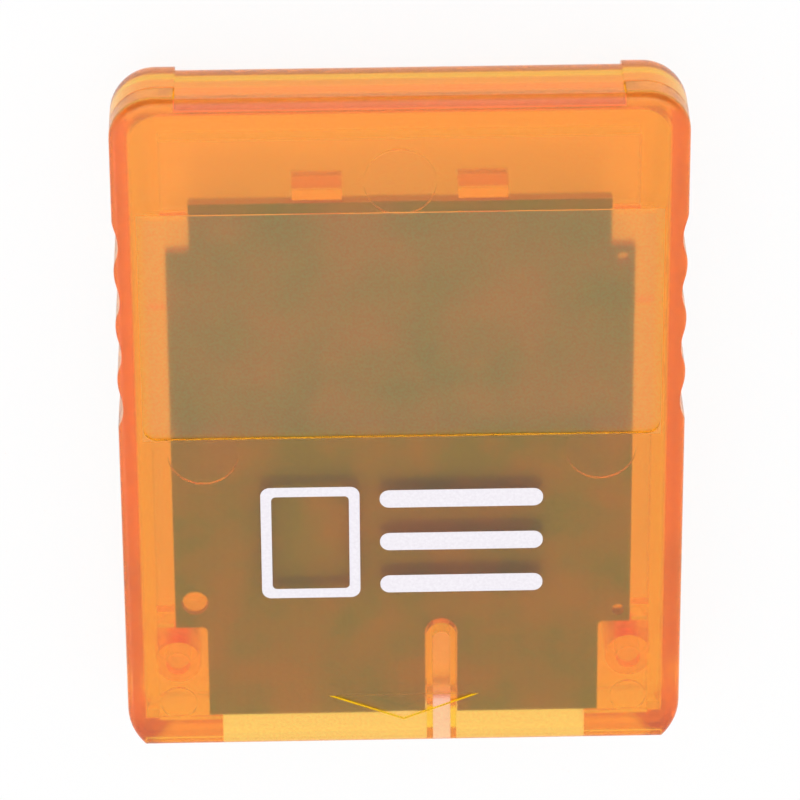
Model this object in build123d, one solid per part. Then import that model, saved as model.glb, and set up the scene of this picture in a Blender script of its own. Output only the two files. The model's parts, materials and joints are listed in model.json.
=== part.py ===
from build123d import *
import os
from math import asin, degrees

# A console memory card lying on its back, in millimetres.
# +Y is the way it slides into the console, -Y is the grip end, +Z is the label side.

# Outer form
card_length = 55.0
card_width = 42.0
card_thickness = 8.0
rear_round = 3.3
front_round = 0.6
lead_in_radius = 4.7
lead_in_length = 3.2
mouth_round = 1.2

# Finger grip scallops on both sides
scallop_count = 4
scallop_pitch = 4.5
scallop_depth = 0.43
scallop_crest_dip = 0.05
scallop_start = 11.85
scallop_run_out = 0.3

# Walls of the two shells
front_wall = 1.5
floor_wall = 1.5
side_wall = 1.3
grip_wall = 1.8
mouth_wall = 1.8
mouth_shoulder = 1.0
inner_round = 1.8
skirt_depth = 2.0
seam_gap = 0.1
fit_clearance = 0.1

# Locating rim inside the front shell
rim_wall = 1.0
rim_depth = 2.3
rim_grip_wall = 1.85
rim_corner_wall = 2.1
rim_corner_length = 8.4
rim_corner_radius = 2.1

# Tongue of the rear shell that closes the middle of the grip end
tongue_width = 32.4
tongue_wall = 1.0
tongue_top_wall = 0.4
tongue_recess = 0.3

# Label recess and direction mark on the front face
label_width = 38.3
label_length = 18.7
label_from_grip = 9.4
label_depth = 0.25
label_radius = 1.0
mark_width = 11.4
mark_length = 2.2
mark_from_mouth = 2.1
mark_depth = 0.25

# Ejector pin marks on the inside of the front shell
ejector_depth = 0.25
large_ejector_radius = 2.65
small_ejector_radius = 1.37
grip_ejector_from_rim = 3.55
side_ejector_inset = 3.8
side_ejector_from_mouth = 25.3
small_ejector_from_mouth = 3.4

# Circuit board
board_thickness = 1.0
board_gap = 0.5
board_side_gap = 1.4
board_grip_room = 5.45
board_grip_inset = 1.75
board_grip_step = 4.0
board_tongue_inset = 2.4
board_tongue_length = 7.85
board_inner_radius = 0.4
locating_hole_radius = 1.0
locating_hole_inset = 1.5
locating_hole_from_step = 2.15
tooling_hole_radius = 0.48
tooling_hole_inset = 0.9
tooling_hole_from_step = 1.0

# Key slot between the two groups of contacts
key_x = -2.9
key_from_mouth = 9.0
key_slot_width = 2.45
key_channel_width = 1.33
key_channel_wall = 0.6
key_rib_below_board = 0.5

# Contacts on the rear of the board
contact_long_count = 5
contact_short_count = 3
contact_width = 2.2
contact_length = 7.6
contact_thickness = 0.06
contact_from_edge = 0.4
contact_edge_margin = 0.6

# Joining posts and board rests
boss_radius = 1.75
boss_bore_radius = 0.93
boss_bore_rise = 0.45
boss_inset = 1.5
boss_from_mouth = 7.0
boss_bottom_z = 3.0
pin_clearance = 0.06
pin_tip_gap = 0.3
rest_radius = 1.5
rest_rib_length = 4.0
rest_rib_wall = 0.8
rest_rib_inset = 0.5
rest_rib_from_edge = 2.0
locating_pin_drop = 0.4

# Stops of the front shell that hold the grip edge of the board
stop_width = 3.65
stop_spacing = 12.1
stop_depth = 2.6
stop_wall = 1.0
stop_clearance = 0.5

# Guide ribs of the front shell beside the board
guide_depth = 0.9
guide_rib_width = 0.4
guide_rib_from_grip_step = 4.4
guide_block_length = 1.4
guide_block_from_step = 0.35

# Memory chip: thin package with leads on its two short ends
flash_length = 18.4
flash_width = 12.0
flash_height = 1.0
flash_lead_count = 24
flash_lead_pitch = 0.5
flash_lead_width = 0.22
flash_lead_reach = 0.8
flash_foot = 0.5
flash_from_step = 2.4

# Controller chip: flat package with leads on four sides
control_size = 7.0
control_height = 1.4
control_lead_count = 8
control_lead_pitch = 0.8
control_lead_width = 0.37
control_lead_reach = 1.0
control_foot = 0.6
control_from_step = 3.2
control_x = 4.0

# Package details
lead_thickness = 0.15
package_standoff = 0.1
package_chamfer = 0.12
pin_one_radius = 0.45
pin_one_inset = 1.2
pin_one_depth = 0.08

# Small chip parts soldered on the rear of the board
chip_part_length = 1.6
chip_part_width = 0.8
capacitor_height = 0.8
resistor_height = 0.45
chip_cap_length = 0.35
chip_cap_rise = 0.02
chip_part_gap = 0.9
resistor_pitch = 2.6
resistor_count = 4
resistor_from_contacts = 1.0

# Places and levels that follow from the sizes above
half_length = card_length / 2
half_width = card_width / 2
front_inner_z = card_thickness - front_wall
seam_z = card_thickness - skirt_depth
board_top_z = front_inner_z - board_gap
board_bottom_z = board_top_z - board_thickness
tongue_top_z = card_thickness - tongue_top_wall
tongue_inner_y = -half_length + tongue_wall
cavity_x = half_width - side_wall
cavity_grip_y = -half_length + grip_wall
mouth_y = half_length - mouth_wall
rim_outer_x = cavity_x - fit_clearance
rim_outer_y = cavity_grip_y + fit_clearance
rim_inner_x = rim_outer_x - rim_wall
rim_corner_x = rim_outer_x - rim_corner_wall
rim_grip_y = rim_outer_y + rim_grip_wall
rim_step_y = rim_outer_y + rim_corner_length
rim_bottom_z = front_inner_z - rim_depth
board_wide_x = rim_inner_x - board_side_gap
board_grip_x = board_wide_x - board_grip_inset
board_tongue_x = board_wide_x - board_tongue_inset
board_mouth_y = mouth_y - fit_clearance
board_grip_y = rim_grip_y + board_grip_room
board_grip_step_y = board_grip_y + board_grip_step
board_step_y = board_mouth_y - board_tongue_length
mouth_x = board_tongue_x - mouth_shoulder
locating_x = board_wide_x - locating_hole_inset
locating_y = board_step_y - locating_hole_from_step
key_y = half_length - key_from_mouth
boss_x = rim_inner_x - boss_inset
boss_y = half_length - boss_from_mouth
flash_y = board_grip_step_y + flash_from_step + flash_width / 2
control_span = control_size + 2 * control_lead_reach
control_y = board_step_y - control_from_step - control_span / 2
contact_end_y = board_mouth_y - contact_from_edge
contact_start_y = contact_end_y - contact_length
contact_reach = board_tongue_x - contact_edge_margin - contact_width / 2
contact_pitch = (contact_reach - key_x) / contact_long_count


def box_between(x0, x1, y0, y1, z0, z1):
    """Box between two opposite corners."""
    size = Box(x1 - x0, y1 - y0, z1 - z0, align=(Align.MIN, Align.MIN, Align.MIN))
    return Pos(x0, y0, z0) * size


def post(x, y, z0, z1, radius):
    """Upright round post between two levels."""
    return Pos(x, y, z0) * Cylinder(radius, z1 - z0, align=(Align.CENTER, Align.CENTER, Align.MIN))


def slab(face, z0, z1):
    """Flat face given thickness between two levels."""
    return extrude(Pos(0, 0, z0) * face, z1 - z0)


def both_sides(shape):
    """A shape and its mirror image across the middle of the card."""
    return shape + mirror(shape, Plane.YZ)


def card_outline():
    """Plan of the card: round grip corners and curved lead-in corners at the mouth."""
    arc_start = (half_width - lead_in_radius, half_length - lead_in_length)
    right_lead = CenterArc(arc_start, lead_in_radius, 0, degrees(asin(lead_in_length / lead_in_radius)))
    left_lead = mirror(right_lead, Plane.YZ)
    grip_corners = [(half_width, -half_length), (-half_width, -half_length)]
    sides = Polyline(right_lead @ 0, *grip_corners, left_lead @ 0)
    mouth = Line(right_lead @ 1, left_lead @ 1)
    plan = make_face([*sides.edges(), right_lead, left_lead, mouth])
    return fillet(plan.vertices().group_by(Axis.Y)[0], rear_round)


def scallop_cutter():
    """Wavy strip of tangent arcs that cuts the finger grips into the +X side."""
    quarter = scallop_pitch / 4
    crest_x = half_width - scallop_crest_dip
    valley_x = half_width - scallop_depth
    middle_x = (crest_x + valley_x) / 2
    first_y = -half_length + scallop_start
    slope = (crest_x - valley_x) / (2 * quarter)
    outer_x = half_width + scallop_run_out
    run_out = (outer_x - middle_x) / slope / 2
    wave = []
    for number in range(scallop_count):
        valley_y = first_y + number * scallop_pitch
        low = (middle_x, valley_y - quarter)
        high = (middle_x, valley_y + quarter)
        wave.append(ThreePointArc(low, (valley_x, valley_y), high))
        if number < scallop_count - 1:
            crest_y = valley_y + 2 * quarter
            wave.append(ThreePointArc(high, (crest_x, crest_y), (middle_x, crest_y + quarter)))
    start = wave[0] @ 0
    end = wave[-1] @ 1
    outside = Polyline(end, (outer_x, end.Y + run_out), (outer_x, start.Y - run_out), start)
    strip = make_face([*wave, *outside.edges()])
    return slab(strip, 0, card_thickness)


def mouth_edge_cutter():
    """Strip that rounds the rear edge of the connector end along its whole width."""
    centre_y = half_length - mouth_round
    strip = box_between(-card_width, card_width, centre_y, card_length, 0, mouth_round)
    roll = Cylinder(mouth_round, 2 * card_width, rotation=(0, 90, 0))
    return strip - Pos(0, centre_y, mouth_round) * roll


def card_form():
    """Whole outer form of the card, before it is parted into two shells."""
    form = slab(card_outline(), 0, card_thickness)
    form = fillet(form.edges().group_by(Axis.Z)[0].sort_by(Axis.Y)[:-1], rear_round)
    form = fillet(form.edges().group_by(Axis.Z)[-1], front_round)
    return form - mouth_edge_cutter() - both_sides(scallop_cutter())


def rim_inner_face():
    """Plan of the room inside the locating rim, narrower beside the grip end."""
    points = [
        (rim_corner_x, rim_grip_y),
        (rim_corner_x, rim_step_y),
        (rim_inner_x, rim_step_y),
        (rim_inner_x, mouth_y),
    ]
    mirrored = [(-x, y) for x, y in reversed(points)]
    return make_face(Polyline(*points, *mirrored, close=True))


def rim_outer_face():
    """Plan of the outside of the rim, which slips inside the rear shell."""
    length = mouth_y - fit_clearance - rim_outer_y
    face = Pos(0, rim_outer_y + length / 2) * Rectangle(2 * rim_outer_x, length)
    return fillet(face.vertices().group_by(Axis.Y)[0], rim_corner_radius)


def key_face(width):
    """Plan of a slot of the given width, round at its inner end and open at the mouth."""
    length = half_length - key_y
    straight = Pos(key_x, key_y + length / 2) * Rectangle(width, length)
    return straight + Pos(key_x, key_y) * Circle(width / 2)


def direction_mark():
    """Triangle that points the way the card goes in."""
    base_y = half_length - mark_from_mouth - mark_length
    tip = (0, base_y + mark_length)
    return make_face(Polyline((-mark_width / 2, base_y), (mark_width / 2, base_y), tip, close=True))


def ejector_marks():
    """Shallow round marks that the mould's ejector pins leave inside the front shell."""
    top = front_inner_z + ejector_depth
    grip_y = rim_grip_y + grip_ejector_from_rim
    side_x = rim_inner_x - side_ejector_inset
    side_y = half_length - side_ejector_from_mouth
    small_y = half_length - small_ejector_from_mouth
    grip_mark = post(0, grip_y, front_inner_z, top, large_ejector_radius)
    side_mark = post(side_x, side_y, front_inner_z, top, large_ejector_radius)
    small_mark = post(boss_x, small_y, front_inner_z, top, small_ejector_radius)
    return grip_mark + both_sides(side_mark) + both_sides(small_mark)


def mouth_cutter():
    """Opening in the connector end where the console's contacts reach the board."""
    return box_between(-mouth_x, mouth_x, mouth_y - fit_clearance, card_length, floor_wall, front_inner_z)


def front_boss():
    """Socket for a joining post, hanging from the front wall."""
    return post(boss_x, boss_y, boss_bottom_z, front_inner_z, boss_radius)


def guide_rib(board_x, wall_x, end_y, length):
    """Rib from the rim to just beside the board, ending at the given place along the card."""
    face_x = board_x + fit_clearance
    reach_x = wall_x + rim_wall / 2
    return box_between(face_x, reach_x, end_y - length, end_y, front_inner_z - guide_depth, front_inner_z)


def guide_ribs():
    """Two ribs and a block that guide one side of the board."""
    rib_y = board_grip_step_y + guide_rib_from_grip_step + guide_rib_width
    block_y = board_step_y - guide_block_from_step
    grip_rib = guide_rib(board_grip_x, rim_corner_x, rim_step_y, guide_rib_width)
    side_rib = guide_rib(board_wide_x, rim_inner_x, rib_y, guide_rib_width)
    return grip_rib + side_rib + guide_rib(board_wide_x, rim_inner_x, block_y, guide_block_length)


def board_stop():
    """Block that hangs from the front wall and stops the grip edge of the board."""
    start_x = (stop_spacing - stop_width) / 2
    end_y = board_grip_y - stop_clearance
    bottom_z = front_inner_z - stop_depth
    return box_between(start_x, start_x + stop_width, end_y - stop_wall, end_y, bottom_z, front_inner_z)


def front_shell(form):
    """Front shell: label side, skirt, locating rim, sockets, stops and key rib."""
    body = form - box_between(-card_width, card_width, -card_length, card_length, 0, seam_z + seam_gap / 2)
    notch_x = tongue_width / 2 + fit_clearance
    notch_y = tongue_inner_y + fit_clearance
    body -= box_between(-notch_x, notch_x, -card_length, notch_y, 0, tongue_top_z + seam_gap)
    body -= slab(rim_inner_face(), 0, front_inner_z)
    body += slab(rim_outer_face() - rim_inner_face(), rim_bottom_z, seam_z + seam_gap)
    body -= mouth_cutter()
    rib_width = key_slot_width - 2 * fit_clearance
    rib_bottom_z = board_bottom_z - key_rib_below_board
    key_rib = slab(key_face(rib_width), rib_bottom_z, front_inner_z)
    body += key_rib & form
    body += both_sides(front_boss() + guide_ribs() + board_stop())
    body -= slab(key_face(key_channel_width), 0, card_thickness - key_channel_wall)
    bore_top_z = front_inner_z + boss_bore_rise
    body -= both_sides(post(boss_x, boss_y, 0, bore_top_z, boss_bore_radius))
    body -= ejector_marks()
    label_y = -half_length + label_from_grip + label_length / 2
    label = Pos(0, label_y) * RectangleRounded(label_width, label_length, label_radius)
    body -= slab(label, card_thickness - label_depth, card_thickness)
    body -= slab(direction_mark(), card_thickness - mark_depth, card_thickness)
    return body


def joining_post():
    """Post of the rear shell with a pin that presses into the front shell's socket."""
    shoulder_z = boss_bottom_z - seam_gap / 2
    pin_top_z = front_inner_z - pin_tip_gap
    shoulder = post(boss_x, boss_y, floor_wall / 2, shoulder_z, boss_radius)
    return shoulder + post(boss_x, boss_y, shoulder_z, pin_top_z, boss_bore_radius - pin_clearance)


def board_rests():
    """Round rest and rib under one side of the board."""
    rib_x = board_grip_x - rest_rib_inset
    rib_y = board_grip_y + rest_rib_from_edge
    rib_start_x = rib_x - rest_rib_length
    rest = post(locating_x, locating_y, floor_wall / 2, board_bottom_z, rest_radius)
    rib = box_between(rib_start_x, rib_x, rib_y, rib_y + rest_rib_wall, floor_wall / 2, board_bottom_z)
    return rest + rib


def rear_shell(form):
    """Rear shell: floor, walls, grip-end tongue, posts and rests."""
    top_z = seam_z - seam_gap / 2
    tongue_x = tongue_width / 2
    above = box_between(-card_width, card_width, -card_length, card_length, top_z, card_thickness)
    tongue = box_between(-tongue_x, tongue_x, -card_length, tongue_inner_y, 0, tongue_top_z)
    body = form - (above - tongue)
    room_length = mouth_y - cavity_grip_y
    plan = Pos(0, cavity_grip_y + room_length / 2) * Rectangle(2 * cavity_x, room_length)
    plan = fillet(plan.vertices().group_by(Axis.Y)[0], inner_round)
    room = slab(plan, floor_wall, card_thickness)
    body -= fillet(room.edges().group_by(Axis.Z)[0], inner_round)
    body -= mouth_cutter()
    recess_y = -half_length + rear_round
    recess = box_between(-tongue_x, tongue_x, -card_length, recess_y, 0, card_thickness)
    body -= recess - Pos(0, tongue_recess, 0) * form
    body += both_sides(joining_post() + board_rests())
    pin_top_z = board_top_z - locating_pin_drop
    pin_radius = locating_hole_radius - pin_clearance
    return body + post(locating_x, locating_y, board_bottom_z, pin_top_z, pin_radius)


def circuit_board():
    """Board with a narrow grip end, a contact tongue, the key slot and its holes."""
    points = [
        (board_grip_x, board_grip_y),
        (board_grip_x, board_grip_step_y),
        (board_wide_x, board_grip_step_y),
        (board_wide_x, board_step_y),
        (board_tongue_x, board_step_y),
        (board_tongue_x, board_mouth_y),
    ]
    mirrored = [(-x, y) for x, y in reversed(points)]
    face = make_face(Polyline(*points, *mirrored, close=True))
    steps = face.vertices().group_by(Axis.Y)[1:-1]
    inner_corners = [corner for step in steps for corner in sorted(step, key=lambda v: abs(v.X))[:2]]
    face = fillet(inner_corners, board_inner_radius)
    face -= key_face(key_slot_width)
    face -= Pos(locating_x, locating_y) * Circle(locating_hole_radius)
    tooling_x = board_wide_x - tooling_hole_inset
    for tooling_y in (board_grip_step_y + tooling_hole_from_step, board_step_y - tooling_hole_from_step):
        face -= Pos(-tooling_x, tooling_y) * Circle(tooling_hole_radius)
    return slab(face, board_bottom_z, board_top_z)


def contact_places():
    """Middle of each contact, on one pitch either side of the key slot."""
    steps = [*range(-contact_short_count, 0), *range(1, contact_long_count + 1)]
    return [key_x + step * contact_pitch for step in steps]


def contact_pad(x):
    """One gold-plated contact on the rear of the board."""
    face = Pos(x, contact_start_y + contact_length / 2) * Rectangle(contact_width, contact_length)
    return slab(face, board_bottom_z - contact_thickness, board_bottom_z)


def gull_wing(reach, foot, width, package_height):
    """One bent lead that runs along +X from a package edge up to the board."""
    exit_depth = package_standoff + package_height / 2
    heel = reach - foot
    half_thick = lead_thickness / 2
    profile = Polyline(
        (0, half_thick - exit_depth),
        (heel, 0),
        (reach, 0),
        (reach, -lead_thickness),
        (heel + lead_thickness, -lead_thickness),
        (0, -half_thick - exit_depth),
        close=True,
    )
    return extrude(Plane.XZ * make_face(profile), width / 2, both=True)


def lead_row(lead, count, pitch, edge_distance):
    """A row of leads along the +X edge of a package centred on the origin."""
    first = -(count - 1) / 2 * pitch
    return [Pos(edge_distance, first + number * pitch, 0) * lead for number in range(count)]


def package_body(length, width, height):
    """Moulded chip package under the board, with a dimple at its first lead."""
    body = Pos(0, 0, -package_standoff - height / 2) * Box(length, width, height)
    body = chamfer(body.edges(), package_chamfer)
    bottom_z = -package_standoff - height
    dimple_x = -length / 2 + pin_one_inset
    dimple_y = -width / 2 + pin_one_inset
    return body - post(dimple_x, dimple_y, bottom_z, bottom_z + pin_one_depth, pin_one_radius)


def flash_leads():
    """Leads on the two short ends of the memory chip."""
    lead = gull_wing(flash_lead_reach, flash_foot, flash_lead_width, flash_height)
    row = lead_row(lead, flash_lead_count, flash_lead_pitch, flash_length / 2)
    return Compound(children=row + [Rot(0, 0, 180) * solid for solid in row])


def control_leads():
    """Leads on the four sides of the controller chip."""
    lead = gull_wing(control_lead_reach, control_foot, control_lead_width, control_height)
    row = lead_row(lead, control_lead_count, control_lead_pitch, control_size / 2)
    return Compound(children=[Rot(0, 0, turn) * solid for turn in (0, 90, 180, 270) for solid in row])


def chip_part(height):
    """Small soldered part with metal end caps, lying under the board along X."""
    middle_length = chip_part_length - chip_cap_length
    middle_width = chip_part_width - 2 * chip_cap_rise
    middle_height = height - 2 * chip_cap_rise
    middle = Box(middle_length, middle_width, middle_height)
    cap_x = (chip_part_length - chip_cap_length) / 2
    cap = Pos(cap_x, 0, 0) * Box(chip_cap_length, chip_part_width, height)
    return Pos(0, 0, -height / 2) * (middle + both_sides(cap))


def capacitor_places():
    """Supply capacitors: two beside the memory chip and three beside the controller."""
    flash_side_y = flash_y - flash_width / 2 - chip_part_gap
    control_side_x = control_span / 2 + chip_part_gap + chip_part_length / 2
    control_row_y = control_size / 2 - chip_part_width
    return [
        (-flash_length / 2 + chip_part_length, flash_side_y),
        (flash_length / 2 - chip_part_length, flash_side_y),
        (control_x - control_side_x, control_y - control_row_y),
        (control_x - control_side_x, control_y + control_row_y),
        (control_x + control_side_x, control_y),
    ]


def resistor_places():
    """Signal resistors in a row beside the contacts."""
    row_y = contact_start_y - resistor_from_contacts - chip_part_width / 2
    first_x = control_x - (resistor_count - 1) / 2 * resistor_pitch
    return [(first_x + number * resistor_pitch, row_y) for number in range(resistor_count)]


def main():
    """Write one file for each piece of the card."""
    form = card_form()
    under_board = Pos(0, 0, board_bottom_z)
    flash_place = under_board * Pos(0, flash_y)
    control_place = under_board * Pos(control_x, control_y)
    pieces = {
        "front_shell": front_shell(form),
        "rear_shell": rear_shell(form),
        "circuit_board": circuit_board(),
        "flash_chip": flash_place * package_body(flash_length, flash_width, flash_height),
        "flash_leads": flash_place * flash_leads(),
        "controller_chip": control_place * package_body(control_size, control_size, control_height),
        "controller_leads": control_place * control_leads(),
    }
    for number, x in enumerate(contact_places(), start=1):
        pieces[f"contact_pad_{number}"] = contact_pad(x)
    for number, (x, y) in enumerate(capacitor_places(), start=1):
        pieces[f"capacitor_{number}"] = under_board * Pos(x, y) * chip_part(capacitor_height)
    for number, (x, y) in enumerate(resistor_places(), start=1):
        pieces[f"resistor_{number}"] = under_board * Pos(x, y) * chip_part(resistor_height)
    os.makedirs("parts", exist_ok=True)
    for name, piece in pieces.items():
        export_step(piece, f"parts/{name}.step")


main()
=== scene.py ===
import json
import logging
import math
from dataclasses import dataclass, field
from enum import Enum
from typing import Any, Mapping, Optional, Protocol, Union

import bmesh
import bpy
from mathutils import Euler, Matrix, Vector


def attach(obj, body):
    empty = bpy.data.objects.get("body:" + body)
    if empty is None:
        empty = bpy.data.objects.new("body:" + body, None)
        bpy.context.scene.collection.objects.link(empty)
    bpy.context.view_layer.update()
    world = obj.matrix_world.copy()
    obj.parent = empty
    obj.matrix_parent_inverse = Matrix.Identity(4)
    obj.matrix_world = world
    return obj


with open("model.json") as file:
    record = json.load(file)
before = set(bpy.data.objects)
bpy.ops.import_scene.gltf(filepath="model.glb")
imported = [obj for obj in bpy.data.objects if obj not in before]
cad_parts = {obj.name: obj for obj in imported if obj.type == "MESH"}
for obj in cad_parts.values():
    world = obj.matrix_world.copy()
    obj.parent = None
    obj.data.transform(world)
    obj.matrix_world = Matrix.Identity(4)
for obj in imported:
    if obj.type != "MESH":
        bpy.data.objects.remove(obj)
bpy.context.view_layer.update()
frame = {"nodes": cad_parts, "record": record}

# A translucent console memory card, lying on its back in a white studio.
# The frame is in metres: +Y is the way the card goes in, +Z is the label side.

LOG = logging.getLogger("memory_card")
MM = 0.001
BODY = "root"
WHITE_HEX = "#FFFFFF"
# A wave texture of scale one has a band every 2 pi / 20 of a unit.
WAVE_BAND = 2 * math.pi / 20
# Generated coordinates run from zero to one, so this is the middle of a piece.
HALFWAY = 0.5
# A mix node has a set of sockets for each kind of value, and these are its sockets for colours.
MIX_SHARE = 0
MIX_FIRST = 6
MIX_SECOND = 7
MIX_RESULT = 2

Socket = bpy.types.NodeSocket
Colour = tuple[float, float, float, float]
Place = tuple[float, float, float]
Point = tuple[float, float]


class Ray(Enum):
    """Kinds of ray that see the studio's white instead of its lit floor."""

    CAMERA = "Is Camera Ray"
    GLOSSY = "Is Glossy Ray"
    TRANSMISSION = "Is Transmission Ray"


class Finish(Protocol):
    """What each finish offers."""

    def material(self) -> bpy.types.Material:
        """Build the material."""


def linear(hex_colour: str) -> Colour:
    """Turn an sRGB hex colour into linear light.

    Args:
        hex_colour: Six hex digits after a hash sign.

    Returns:
        Red, green, blue and an alpha of one.
    """
    shares = [int(hex_colour[start:start + 2], 16) / 255 for start in (1, 3, 5)]
    light = [share / 12.92 if share <= 0.04045 else ((share + 0.055) / 1.055) ** 2.4 for share in shares]
    return (*light, 1.0)


def add_node(
    tree: bpy.types.NodeTree,
    kind: str,
    settings: Optional[Mapping[Union[str, int], Any]] = None,
    links: Optional[Mapping[Union[str, int], Socket]] = None,
) -> bpy.types.Node:
    """Add one node, set its values and link its inputs.

    Args:
        tree: Node tree that takes the node.
        kind: Blender's name for the kind of node.
        settings: Properties by name, and input values by name or number.
        links: Sockets that feed inputs, by the input's name or number.

    Returns:
        The new node.
    """
    node = tree.nodes.new(kind)
    for key, value in (settings or {}).items():
        if isinstance(key, str) and hasattr(node, key):
            setattr(node, key, value)
        else:
            node.inputs[key].default_value = value
    for key, source in (links or {}).items():
        tree.links.new(source, node.inputs[key])
    return node


def maths(tree: bpy.types.NodeTree, operation: str, *values: Union[Socket, float]) -> Socket:
    """Work one thing out from sockets and numbers.

    Args:
        tree: Node tree that takes the node.
        operation: Blender's name for what is worked out.
        values: Sockets and numbers, in the order of the node's inputs.

    Returns:
        A socket with the result.
    """
    numbers = {slot: value for slot, value in enumerate(values) if not isinstance(value, Socket)}
    links = {slot: value for slot, value in enumerate(values) if isinstance(value, Socket)}
    return add_node(tree, "ShaderNodeMath", {"operation": operation, **numbers}, links).outputs["Value"]


def mix_colours(
    tree: bpy.types.NodeTree,
    share: Union[Socket, float],
    first: Union[Socket, Colour],
    second: Union[Socket, Colour],
    blend: str = "MIX",
) -> Socket:
    """Mix two colours.

    Args:
        tree: Node tree that takes the node.
        share: How far the second colour takes part.
        first: Colour at a share of zero.
        second: Colour that is mixed in.
        blend: Blender's name for the way of mixing.

    Returns:
        A socket with the mixed colour.
    """
    inputs = {MIX_SHARE: share, MIX_FIRST: first, MIX_SECOND: second}
    values = {slot: value for slot, value in inputs.items() if not isinstance(value, Socket)}
    links = {slot: value for slot, value in inputs.items() if isinstance(value, Socket)}
    settings = {"data_type": "RGBA", "blend_type": blend, **values}
    return add_node(tree, "ShaderNodeMix", settings, links).outputs[MIX_RESULT]


def new_tree(name: str) -> tuple[bpy.types.Material, bpy.types.NodeTree]:
    """Make an empty node material.

    Args:
        name: Material and surface, in a maker's words.

    Returns:
        The material and its node tree.
    """
    material = bpy.data.materials.new(name)
    material.use_nodes = True
    material.node_tree.nodes.clear()
    return material, material.node_tree


def seen_white(tree: bpy.types.NodeTree, shares: Mapping[Ray, float]) -> Socket:
    """How far a ray sees the studio's own white, in the picture, in gloss or through plastic.

    Args:
        tree: Node tree that asks.
        shares: How much of the white each kind of ray takes. A ray of two kinds takes the later one.

    Returns:
        A socket with that share, and zero for light that falls on other surfaces.
    """
    path = add_node(tree, "ShaderNodeLightPath")
    seen = add_node(tree, "ShaderNodeValue").outputs["Value"]
    seen.default_value = 0.0
    for ray, share in shares.items():
        step = add_node(tree, "ShaderNodeMix", {"B": share}, {"Factor": path.outputs[ray.value], "A": seen})
        seen = step.outputs["Result"]
    return seen


def per_metre(size_mm: float) -> float:
    """Texture scale for a grain of the given size."""
    return 1.0 / (size_mm * MM)


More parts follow.
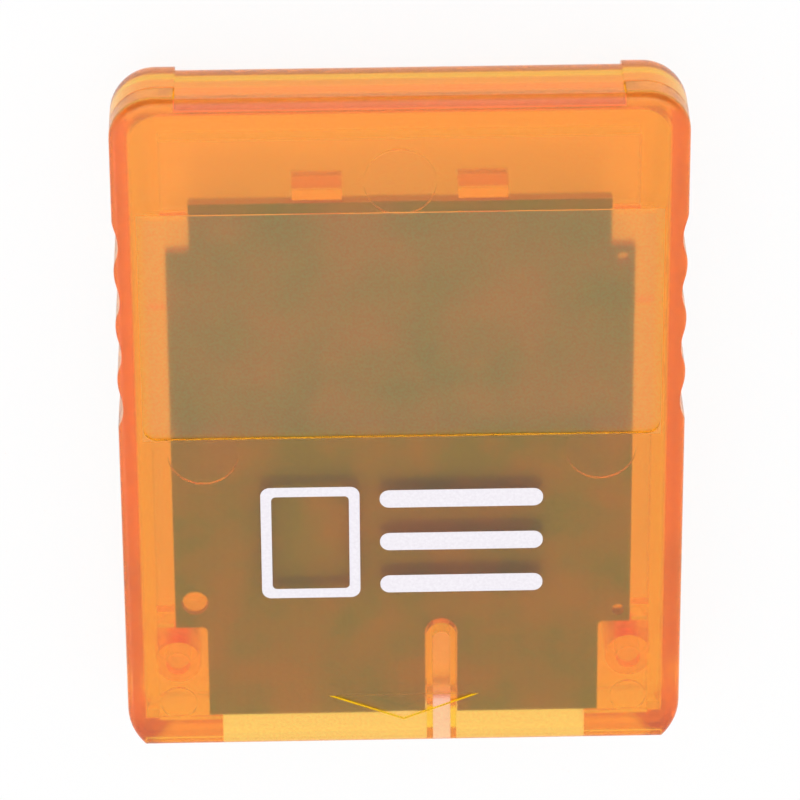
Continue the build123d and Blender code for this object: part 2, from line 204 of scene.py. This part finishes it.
@dataclass(frozen=True)
class TranslucentShell:
    """Tinted clear ABS, matt outside from a spark-eroded mould and polished inside.

    The tint lies in the plastic, so walls that lie behind each other look deeper. The matt skin blurs
    what lies behind it a little and gives a soft, dry highlight, and the label bed is duller still.
    """

    name: str = "spark_eroded_translucent_abs"
    surface_hex: str = "#FFD3E0"
    # Paler and bluer than the rest of the skin: partly the lighter tint of the thinner wall under the bed,
    # partly a painted white haze for the light the duller skin reflects.
    label_bed_painted_haze_hex: str = "#FBDCF6"
    tint_hex: str = "#FFFE00"
    tint_per_metre: float = 1250.0
    clearness: float = 0.98
    matt_roughness: float = 0.22
    bed_roughness: float = 0.36
    polished_roughness: float = 0.08
    ior: float = 1.53
    # A spark-eroded skin has pits of about 0.05 mm, drawn coarser so that they show.
    grain_mm: float = 0.2
    grain_height_mm: float = 0.006
    grain_detail: float = 2.0
    grain_edge: float = 0.6
    pit_hex: str = "#FFE0E4"
    pit_span: tuple[float, float] = (0.35, 0.65)
    # The coarser skin of the bed throws some white light back, as a thin rough coat does.
    bed_haze: float = 0.45
    bed_haze_roughness: float = 0.6
    middle_mm: Place = (0.0, 0.0, 4.0)
    label_bed_mm: tuple[float, float, float, float] = (-19.2, 19.2, -18.15, 0.65)
    label_bed_above_mm: float = 7.6

    def outside(self, tree: bpy.types.NodeTree) -> Socket:
        """Tell the skin that faces away from the card's middle from the walls inside.

        Args:
            tree: Node tree of the shell.

        Returns:
            A socket that is one outside and zero inside.
        """
        middle = tuple(part * MM for part in self.middle_mm)
        place = add_node(tree, "ShaderNodeNewGeometry")
        away = add_node(
            tree, "ShaderNodeVectorMath", {"operation": "SUBTRACT", 1: middle}, {0: place.outputs["Position"]}
        )
        facing = add_node(
            tree, "ShaderNodeVectorMath", {"operation": "DOT_PRODUCT"},
            {0: place.outputs["True Normal"], 1: away.outputs["Vector"]},
        )
        # The normal is turned towards the ray, so this is minus one where a wall is seen from inside.
        front = maths(tree, "MULTIPLY_ADD", place.outputs["Backfacing"], -2.0, 1.0)
        true_facing = maths(tree, "MULTIPLY", facing.outputs["Value"], front)
        return maths(tree, "GREATER_THAN", true_facing, 0.0)

    def label_bed(self, tree: bpy.types.NodeTree) -> Socket:
        """Mark the sunk bed for a label on the front face.

        Args:
            tree: Node tree of the shell.

        Returns:
            A socket that is one on the bed and zero elsewhere.
        """
        left, right, low, high = (edge * MM for edge in self.label_bed_mm)
        place = add_node(tree, "ShaderNodeNewGeometry")
        parts = add_node(tree, "ShaderNodeSeparateXYZ", links={"Vector": place.outputs["Position"]})
        across = maths(tree, "COMPARE", parts.outputs["X"], (left + right) / 2, (right - left) / 2)
        along = maths(tree, "COMPARE", parts.outputs["Y"], (low + high) / 2, (high - low) / 2)
        high_up = maths(tree, "GREATER_THAN", parts.outputs["Z"], self.label_bed_above_mm * MM)
        flat = maths(tree, "MULTIPLY", across, along)
        return maths(tree, "MULTIPLY", flat, high_up)

    def material(self) -> bpy.types.Material:
        """Build the material.

        Returns:
            Transmitting plastic with a tint in its volume and mould grain on its skin.
        """
        material, tree = new_tree(self.name)
        outside = self.outside(tree)
        bed = self.label_bed(tree)
        place = add_node(tree, "ShaderNodeTexCoord")
        grain = add_node(
            tree, "ShaderNodeTexNoise",
            {"Scale": per_metre(self.grain_mm), "Detail": self.grain_detail, "Roughness": self.grain_edge},
            {"Vector": place.outputs["Object"]},
        )
        skin = add_node(
            tree, "ShaderNodeBump",
            {"Distance": self.grain_height_mm * MM},
            {"Strength": outside, "Height": grain.outputs["Fac"]},
        )
        skin_roughness = add_node(
            tree, "ShaderNodeMapRange", {"To Min": self.matt_roughness, "To Max": self.bed_roughness},
            {"Value": bed},
        )
        roughness = add_node(
            tree, "ShaderNodeMapRange", {"To Min": self.polished_roughness},
            {"Value": outside, "To Max": skin_roughness.outputs["Result"]},
        )
        # The label bed takes its paler, bluer colour here, which is partly a painted white haze.
        colour = mix_colours(tree, bed, linear(self.surface_hex), linear(self.label_bed_painted_haze_hex))
        low, high = self.pit_span
        pits = add_node(
            tree, "ShaderNodeMapRange", {"From Min": low, "From Max": high}, {"Value": grain.outputs["Fac"]}
        )
        speckle = mix_colours(tree, pits.outputs["Result"], linear(WHITE_HEX), linear(self.pit_hex))
        speckled = mix_colours(tree, outside, colour, speckle, "MULTIPLY")
        haze = add_node(tree, "ShaderNodeMapRange", {"To Max": self.bed_haze}, {"Value": bed})
        surface = add_node(
            tree, "ShaderNodeBsdfPrincipled",
            {"IOR": self.ior, "Transmission Weight": self.clearness,
             "Coat Roughness": self.bed_haze_roughness},
            {"Base Color": speckled, "Roughness": roughness.outputs["Result"],
             "Coat Weight": haze.outputs["Result"], "Normal": skin.outputs["Normal"]},
        )
        tint = add_node(
            tree, "ShaderNodeVolumeAbsorption",
            {"Color": linear(self.tint_hex), "Density": self.tint_per_metre},
        )
        add_node(
            tree, "ShaderNodeOutputMaterial",
            links={"Surface": surface.outputs["BSDF"], "Volume": tint.outputs["Volume"]},
        )
        return material


@dataclass(frozen=True)
class SolderMaskedBoard:
    """Glass-fibre laminate under a sprayed green solder mask.

    The mask is satin and thin, so the glass cloth shows as a faint ripple and the copper under it as
    browner clouds. The routed edges show the bare tan laminate.
    """

    name: str = "solder_masked_glass_fibre"
    mask_hex: str = "#688F86"
    copper_hex: str = "#898C84"
    laminate_hex: str = "#B9AA7C"
    roughness: tuple[float, float] = (0.42, 0.58)
    ior: float = 1.55
    cloud_mm: float = 6.0
    cloud_detail: float = 4.0
    cloud_edge: float = 0.55
    cloud_span: tuple[float, float] = (0.38, 0.62)
    # Threads of the glass cloth lie about 0.4 mm apart, drawn at twice that so that they show.
    weave_mm: float = 0.8
    weave_height_mm: float = 0.008
    edge_slope: float = 0.5

    def weave(self, tree: bpy.types.NodeTree, place: Socket) -> Socket:
        """Ripple of the glass cloth.

        Args:
            tree: Node tree of the board.
            place: Coordinates in metres.

        Returns:
            A socket with the cloth's height.
        """
        threads = [
            add_node(
                tree, "ShaderNodeTexWave",
                {"bands_direction": axis, "Scale": WAVE_BAND * per_metre(self.weave_mm)}, {"Vector": place},
            )
            for axis in ("X", "Y")
        ]
        return maths(tree, "MULTIPLY", *(thread.outputs["Fac"] for thread in threads))

    def routed_edge(self, tree: bpy.types.NodeTree) -> Socket:
        """Mark the board's edges and the walls of its holes.

        Args:
            tree: Node tree of the board.

        Returns:
            A socket that is one on an edge and zero on the two faces.
        """
        surface = add_node(tree, "ShaderNodeNewGeometry")
        parts = add_node(tree, "ShaderNodeSeparateXYZ", links={"Vector": surface.outputs["True Normal"]})
        slope = maths(tree, "ABSOLUTE", parts.outputs["Z"])
        return maths(tree, "LESS_THAN", slope, self.edge_slope)

    def material(self) -> bpy.types.Material:
        """Build the material.

        Returns:
            Clouded green mask over cloth, with bare laminate on the edges.
        """
        material, tree = new_tree(self.name)
        place = add_node(tree, "ShaderNodeTexCoord").outputs["Object"]
        clouds = add_node(
            tree, "ShaderNodeTexNoise",
            {"Scale": per_metre(self.cloud_mm), "Detail": self.cloud_detail, "Roughness": self.cloud_edge},
            {"Vector": place},
        )
        thin, full = self.cloud_span
        cover = add_node(
            tree, "ShaderNodeMapRange", {"From Min": thin, "From Max": full}, {"Value": clouds.outputs["Fac"]}
        )
        mask = mix_colours(tree, cover.outputs["Result"], linear(self.mask_hex), linear(self.copper_hex))
        colour = mix_colours(tree, self.routed_edge(tree), mask, linear(self.laminate_hex))
        low, high = self.roughness
        roughness = add_node(
            tree, "ShaderNodeMapRange", {"To Min": low, "To Max": high}, {"Value": clouds.outputs["Fac"]}
        )
        ripple = add_node(
            tree, "ShaderNodeBump", {"Distance": self.weave_height_mm * MM},
            {"Height": self.weave(tree, place)},
        )
        surface = add_node(
            tree, "ShaderNodeBsdfPrincipled", {"IOR": self.ior},
            {"Base Color": colour, "Roughness": roughness.outputs["Result"],
             "Normal": ripple.outputs["Normal"]},
        )
        add_node(tree, "ShaderNodeOutputMaterial", links={"Surface": surface.outputs["BSDF"]})
        return material


@dataclass(frozen=True)
class GrainedFinish:
    """A solid finish whose colour, roughness and skin follow one grain."""

    name: str
    low_hex: str
    high_hex: str
    roughness: tuple[float, float]
    grain_mm: Place
    grain_height_mm: float
    metallic: float = 0.0
    grain_detail: float = 3.0
    grain_edge: float = 0.6
    grain_span: tuple[float, float] = (0.3, 0.7)

    def material(self) -> bpy.types.Material:
        """Build the material.

        Returns:
            Opaque material with its grain in colour, roughness and bump.
        """
        material, tree = new_tree(self.name)
        place = add_node(tree, "ShaderNodeTexCoord")
        stretched = add_node(
            tree, "ShaderNodeMapping", {"Scale": tuple(per_metre(size) for size in self.grain_mm)},
            {"Vector": place.outputs["Object"]},
        )
        grain = add_node(
            tree, "ShaderNodeTexNoise",
            {"Scale": 1.0, "Detail": self.grain_detail, "Roughness": self.grain_edge},
            {"Vector": stretched.outputs["Vector"]},
        )
        fine, coarse = self.grain_span
        spread = add_node(
            tree, "ShaderNodeMapRange", {"From Min": fine, "From Max": coarse},
            {"Value": grain.outputs["Fac"]},
        )
        colour = mix_colours(tree, spread.outputs["Result"], linear(self.low_hex), linear(self.high_hex))
        low, high = self.roughness
        roughness = add_node(
            tree, "ShaderNodeMapRange", {"To Min": low, "To Max": high}, {"Value": spread.outputs["Result"]}
        )
        skin = add_node(
            tree, "ShaderNodeBump", {"Distance": self.grain_height_mm * MM}, {"Height": grain.outputs["Fac"]}
        )
        surface = add_node(
            tree, "ShaderNodeBsdfPrincipled", {"Metallic": self.metallic},
            {"Base Color": colour, "Roughness": roughness.outputs["Result"],
             "Normal": skin.outputs["Normal"]},
        )
        add_node(tree, "ShaderNodeOutputMaterial", links={"Surface": surface.outputs["BSDF"]})
        return material


@dataclass(frozen=True)
class MouldedEpoxy(GrainedFinish):
    """Black epoxy, transfer-moulded in an eroded cavity: dry and even, with a faint grey filler grain."""

    name: str = "transfer_moulded_epoxy"
    low_hex: str = "#18181A"
    high_hex: str = "#2B2B2D"
    roughness: tuple[float, float] = (0.48, 0.66)
    # The filler is finer than 0.05 mm and drawn coarser so that it shows.
    grain_mm: Place = (0.12, 0.12, 0.12)
    grain_height_mm: float = 0.004


@dataclass(frozen=True)
class TinnedLead(GrainedFinish):
    """Copper alloy, stamped and dipped in tin: a soft grey shine, clouded where the tin ran."""

    name: str = "dip_tinned_copper_alloy"
    low_hex: str = "#BDBDB8"
    high_hex: str = "#DCDCD8"
    roughness: tuple[float, float] = (0.22, 0.42)
    grain_mm: Place = (0.3, 0.3, 0.3)
    grain_height_mm: float = 0.003
    metallic: float = 1.0


@dataclass(frozen=True)
class ContactGold(GrainedFinish):
    """Hard gold, plated over nickel: a warm shine with fine wipe marks along the way the card slides."""

    name: str = "hard_gold_plating"
    low_hex: str = "#E2B45A"
    high_hex: str = "#F6D383"
    roughness: tuple[float, float] = (0.16, 0.36)
    grain_mm: Place = (0.1, 4.0, 0.1)
    grain_height_mm: float = 0.0015
    metallic: float = 1.0


@dataclass(frozen=True)
class PadInk(GrainedFinish):
    """White two-part ink, pad-printed: a dry, opaque film with a slight orange peel."""

    name: str = "pad_printed_white_ink"
    low_hex: str = "#E4DFE6"
    high_hex: str = "#EEEAF0"
    roughness: tuple[float, float] = (0.5, 0.62)
    grain_mm: Place = (0.25, 0.25, 0.25)
    grain_height_mm: float = 0.003


@dataclass(frozen=True)
class CappedCeramic:
    """Fired ceramic chip with tinned end caps: a dull body between two bright ends."""

    name: str
    body_hex: str
    body_roughness: float
    cap_hex: str = "#CFCFCA"
    cap_roughness: float = 0.34
    # Share of the length from the middle to where a cap starts.
    cap_from: float = 0.31
    # The ceramic's grain is finer than 0.01 mm and drawn coarser so that it shows.
    grain_mm: float = 0.1
    grain_detail: float = 2.0
    grain_share: float = 0.3

    def end_cap(self, tree: bpy.types.NodeTree, place: Socket) -> Socket:
        """Mark the two tinned ends.

        Args:
            tree: Node tree of the chip.
            place: Coordinates from zero to one along each side of the chip.

        Returns:
            A socket that is one on the end caps and zero between them.
        """
        parts = add_node(tree, "ShaderNodeSeparateXYZ", links={"Vector": place})
        between = maths(tree, "COMPARE", parts.outputs["X"], HALFWAY, self.cap_from)
        return maths(tree, "SUBTRACT", 1.0, between)

    def material(self) -> bpy.types.Material:
        """Build the material.

        Returns:
            Grained ceramic with metal ends.
        """
        material, tree = new_tree(self.name)
        place = add_node(tree, "ShaderNodeTexCoord")
        cap = self.end_cap(tree, place.outputs["Generated"])
        grain = add_node(
            tree, "ShaderNodeTexNoise",
            {"Scale": per_metre(self.grain_mm), "Detail": self.grain_detail},
            {"Vector": place.outputs["Object"]},
        )
        shade = add_node(
            tree, "ShaderNodeMapRange", {"To Min": 1.0 - self.grain_share, "To Max": 1.0 + self.grain_share},
            {"Value": grain.outputs["Fac"]},
        )
        plain = mix_colours(tree, cap, linear(self.body_hex), linear(self.cap_hex))
        colour = mix_colours(tree, 1.0, plain, shade.outputs["Result"], "MULTIPLY")
        roughness = add_node(
            tree, "ShaderNodeMapRange", {"To Min": self.body_roughness, "To Max": self.cap_roughness},
            {"Value": cap},
        )
        surface = add_node(
            tree, "ShaderNodeBsdfPrincipled",
            links={"Base Color": colour, "Roughness": roughness.outputs["Result"], "Metallic": cap},
        )
        add_node(tree, "ShaderNodeOutputMaterial", links={"Surface": surface.outputs["BSDF"]})
        return material


@dataclass(frozen=True)
class StudioPaper:
    """White studio paper that stays white behind the card and keeps the card's shadow."""

    name: str = "matt_studio_paper"
    colour_hex: str = "#F4F4F4"
    camera_share: float = 0.9
    gloss_share: float = 0.5
    plastic_share: float = 0.7

    def material(self) -> bpy.types.Material:
        """Build the material.

        Returns:
            Matt white paper, which the camera, reflections and the clear plastic see partly as even white.
        """
        material, tree = new_tree(self.name)
        shares = {
            Ray.CAMERA: self.camera_share,
            Ray.GLOSSY: self.gloss_share,
            Ray.TRANSMISSION: self.plastic_share,
        }
        paper = add_node(tree, "ShaderNodeBsdfDiffuse", {"Color": linear(self.colour_hex)})
        glow = add_node(tree, "ShaderNodeEmission", {"Color": linear(WHITE_HEX), "Strength": 1.0})
        mixed = add_node(
            tree, "ShaderNodeMixShader",
            links={0: seen_white(tree, shares), 1: paper.outputs["BSDF"], 2: glow.outputs["Emission"]},
        )
        add_node(tree, "ShaderNodeOutputMaterial", links={"Surface": mixed.outputs["Shader"]})
        return material


@dataclass
class CardBody:
    """The card's own pieces, which stay as they were built and take their finishes here."""

    finishes: Mapping[str, Finish] = field(default_factory=lambda: {
        "shell": TranslucentShell(),
        "board": SolderMaskedBoard(),
        "chip_package": MouldedEpoxy(),
        "tinned_lead": TinnedLead(),
        "contact_gold": ContactGold(),
        "capacitor": CappedCeramic("fired_tan_ceramic", "#A87F54", 0.45),
        "resistor": CappedCeramic("glazed_black_film", "#1E1E20", 0.25),
    })

    def dress(self) -> None:
        """Give each node the finish of its slot."""
        made = {slot: finish.material() for slot, finish in self.finishes.items()}
        for part in frame["record"]["subparts"]:
            node = frame["nodes"][part["node"]]
            node.data.materials.clear()
            node.data.materials.append(made[part["material_slot"]])
            LOG.info("dressed %s", part["node"])


@dataclass
class PadPrint:
    """A plain printed mark on the front face: the outline of a card beside three bars."""

    name: str = "pad_print"
    face_mm: float = 8.0
    lift_mm: float = 0.003
    ink_mm: float = 0.02
    card_middle_mm: Point = (6.9, 9.6)
    card_size_mm: Point = (7.4, 9.6)
    card_line_mm: float = 0.8
    bar_x_mm: float = -4.4
    bar_rows_mm: Place = (5.9, 9.6, 13.3)
    bar_size_mm: Point = (12.2, 1.5)
    corner_mm: float = 0.7
    corner_steps: int = 6
    ink: PadInk = PadInk()

    def outline(self, middle: Point, size: Point, inset: float) -> list[Point]:
        """Draw a rectangle with round corners.

        Args:
            middle: Its middle on the face, in millimetres.
            size: Its width and height before the inset.
            inset: How far it lies inside that size.

        Returns:
            Points in turn round the outline.
        """
        radius = max(self.corner_mm - inset, self.corner_mm / 2)
        half = [side / 2 - inset - radius for side in size]
        points = []
        for quarter, (sign_x, sign_y) in enumerate(((1, 1), (-1, 1), (-1, -1), (1, -1))):
            for step in range(self.corner_steps + 1):
                turn = math.pi / 2 * (quarter + step / self.corner_steps)
                x = middle[0] + sign_x * half[0] + radius * math.cos(turn)
                y = middle[1] + sign_y * half[1] + radius * math.sin(turn)
                points.append((x, y))
        return points

    def build(self) -> None:
        """Lay the ink on the face as thin closed films."""
        level = (self.face_mm + self.lift_mm) * MM
        films = bmesh.new()

        def loop(points: list[Point]) -> list[bmesh.types.BMVert]:
            """Put the points on the face."""
            return [films.verts.new((x * MM, y * MM, level)) for x, y in points]

        faces = []
        for row in self.bar_rows_mm:
            faces.append(films.faces.new(loop(self.outline((self.bar_x_mm, row), self.bar_size_mm, 0.0))))
        outer = loop(self.outline(self.card_middle_mm, self.card_size_mm, 0.0))
        inner = loop(self.outline(self.card_middle_mm, self.card_size_mm, self.card_line_mm))
        for here in range(len(outer)):
            past = (here + 1) % len(outer)
            faces.append(films.faces.new((outer[here], outer[past], inner[past], inner[here])))
        raised = bmesh.ops.extrude_face_region(films, geom=faces)["geom"]
        tops = [item for item in raised if isinstance(item, bmesh.types.BMVert)]
        bmesh.ops.translate(films, verts=tops, vec=(0.0, 0.0, self.ink_mm * MM))
        bmesh.ops.recalc_face_normals(films, faces=films.faces)
        mesh = bpy.data.meshes.new(self.name)
        films.to_mesh(mesh)
        films.free()
        mesh.materials.append(self.ink.material())
        mark = bpy.data.objects.new(self.name, mesh)
        bpy.context.scene.collection.objects.link(mark)
        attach(mark, BODY)
        LOG.info("printed %s", self.name)


@dataclass
class Studio:
    """White sweep, soft boxes and the camera of the photograph."""

    floor_size: float = 3.0
    floor_gap_mm: float = 0.05
    dome_strength: float = 0.95
    # Gloss sees the white sweep in front of the card and the dimmer room behind the camera.
    room_gloss: float = 0.12
    room_from: float = -0.6
    sweep_from: float = 0.1
    key_watts: float = 1.4
    key_size: float = 0.8
    key_place: Place = (0.05, -0.05, 1.0)
    side_watts: float = 0.7
    side_size: float = 0.5
    side_place: Place = (0.62, 0.40, 0.68)
    camera_place_mm: Place = (6.881, -206.502, 369.990)
    camera_turn_deg: Place = (-29.387, -1.254, 179.670)
    lens_mm: float = 253.19
    sensor_mm: float = 36.0
    light_steps: int = 28
    paper: StudioPaper = StudioPaper()

    def floor(self) -> None:
        """Lay the paper just under the card."""
        half = self.floor_size / 2
        level = -self.floor_gap_mm * MM
        mesh = bpy.data.meshes.new("studio_floor")
        corners = [(-half, -half, level), (half, -half, level), (half, half, level), (-half, half, level)]
        mesh.from_pydata(corners, [], [(0, 1, 2, 3)])
        mesh.materials.append(self.paper.material())
        paper = bpy.data.objects.new("studio_floor", mesh)
        bpy.context.scene.collection.objects.link(paper)

    def gloss_white(self, tree: bpy.types.NodeTree) -> Socket:
        """How bright gloss sees the studio, by direction.

        Args:
            tree: Node tree of the world.

        Returns:
            A socket that is one towards the sweep and lower towards the room.
        """
        place = add_node(tree, "ShaderNodeTexCoord")
        parts = add_node(tree, "ShaderNodeSeparateXYZ", links={"Vector": place.outputs["Generated"]})
        bright = add_node(
            tree, "ShaderNodeMapRange",
            {"interpolation_type": "SMOOTHSTEP", "From Min": self.room_from, "From Max": self.sweep_from,
             "To Min": self.room_gloss, "To Max": 1.0},
            {"Value": parts.outputs["Y"]},
        )
        return bright.outputs["Result"]

    def dome(self) -> None:
        """Even light from all round, seen as white."""
        world = bpy.data.worlds.new("studio_dome")
        bpy.context.scene.world = world
        world.use_nodes = True
        tree = world.node_tree
        tree.nodes.clear()
        path = add_node(tree, "ShaderNodeLightPath")
        strength = add_node(tree, "ShaderNodeValue").outputs["Value"]
        strength.default_value = self.dome_strength
        seen = add_node(
            tree, "ShaderNodeMix",
            links={"Factor": path.outputs[Ray.GLOSSY.value], "A": strength, "B": self.gloss_white(tree)},
        )
        for ray in (Ray.CAMERA, Ray.TRANSMISSION):
            seen = add_node(
                tree, "ShaderNodeMix", {"B": 1.0},
                {"Factor": path.outputs[ray.value], "A": seen.outputs["Result"]},
            )
        light = add_node(
            tree, "ShaderNodeBackground", {"Color": linear(WHITE_HEX)}, {"Strength": seen.outputs["Result"]}
        )
        add_node(tree, "ShaderNodeOutputWorld", links={"Surface": light.outputs["Background"]})

    def soft_box(self, name: str, place: Place, size: float, watts: float) -> None:
        """Hang one soft box that faces the card.

        Args:
            name: Name of the lamp.
            place: Where it hangs, in metres.
            size: Length of its sides, in metres.
            watts: Its power.
        """
        lamp = bpy.data.lights.new(name, "AREA")
        lamp.size = size
        lamp.energy = watts
        box = bpy.data.objects.new(name, lamp)
        box.location = place
        box.rotation_euler = Vector(place).to_track_quat("Z", "Y").to_euler()
        bpy.context.scene.collection.objects.link(box)

    def camera(self) -> None:
        """Stand the camera where the photograph was taken from."""
        lens = bpy.data.cameras.new("camera")
        lens.lens = self.lens_mm
        lens.sensor_width = self.sensor_mm
        station = bpy.data.objects.new("camera", lens)
        station.location = Vector(self.camera_place_mm) * MM
        station.rotation_euler = Euler([math.radians(turn) for turn in self.camera_turn_deg])
        bpy.context.scene.collection.objects.link(station)
        bpy.context.scene.camera = station

    def build(self) -> None:
        """Set up the whole studio."""
        bpy.context.scene.view_settings.view_transform = "Standard"
        cycles = bpy.context.scene.cycles
        cycles.max_bounces = self.light_steps
        cycles.glossy_bounces = self.light_steps
        cycles.transmission_bounces = self.light_steps
        cycles.blur_glossy = 0.0
        self.floor()
        self.dome()
        self.soft_box("key_soft_box", self.key_place, self.key_size, self.key_watts)
        self.soft_box("side_soft_box", self.side_place, self.side_size, self.side_watts)
        self.camera()
        LOG.info("set up the studio")


def main() -> None:
    """Build the card's looks in order."""
    logging.basicConfig(level=logging.INFO)
    CardBody().dress()
    PadPrint().build()
    Studio().build()


if __name__ == "__main__":
    main()
